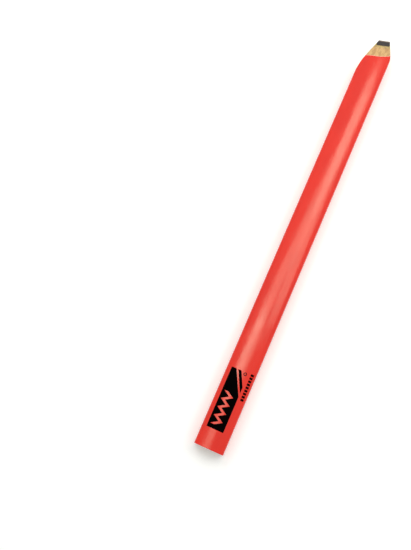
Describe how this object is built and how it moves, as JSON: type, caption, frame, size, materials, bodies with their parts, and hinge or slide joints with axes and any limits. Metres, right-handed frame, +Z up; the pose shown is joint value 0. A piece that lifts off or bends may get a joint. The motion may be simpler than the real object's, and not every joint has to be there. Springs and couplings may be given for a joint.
{
  "type": "carpenter pencil",
  "caption": "Flat red-lacquered carpenter's pencil, knife-sharpened to a chisel point, with a wide graphite core glued between two wood slats.",
  "frame": {"origin": "under the middle of the pencil, on the surface that its broad face lies on", "axes": "+X along the barrel to the sharpened point, +Y across the broad face, +Z up out of the plain broad face"},
  "size_m": [0.1784, 0.0116, 0.0065],
  "materials": {
    "wood": "knife-cut, dry",
    "graphite": "satin, rubbed",
    "adhesive": "matte",
    "ground_coat": "matte",
    "red_lacquer": "gloss",
    "black_print": "satin",
    "dark_print": "satin",
    "gold_foil": "metallic foil"
  },
  "bodies": {
    "root": {"slat_upper": "wood", "slat_lower": "wood", "graphite_lead": "graphite", "lead_bond": "adhesive", "glue_line_left": "adhesive", "glue_line_right": "adhesive", "ground_coat": "ground_coat", "red_lacquer": "red_lacquer", "black_panel_print": "black_print", "black_dash_print": "black_print", "bar_block_print": "dark_print", "caption_dash_print": "dark_print", "foil_emblem_mark": "gold_foil", "foil_lozenge_mark": "gold_foil", "foil_band_mark": "gold_foil"}
  },
  "joints": []
}
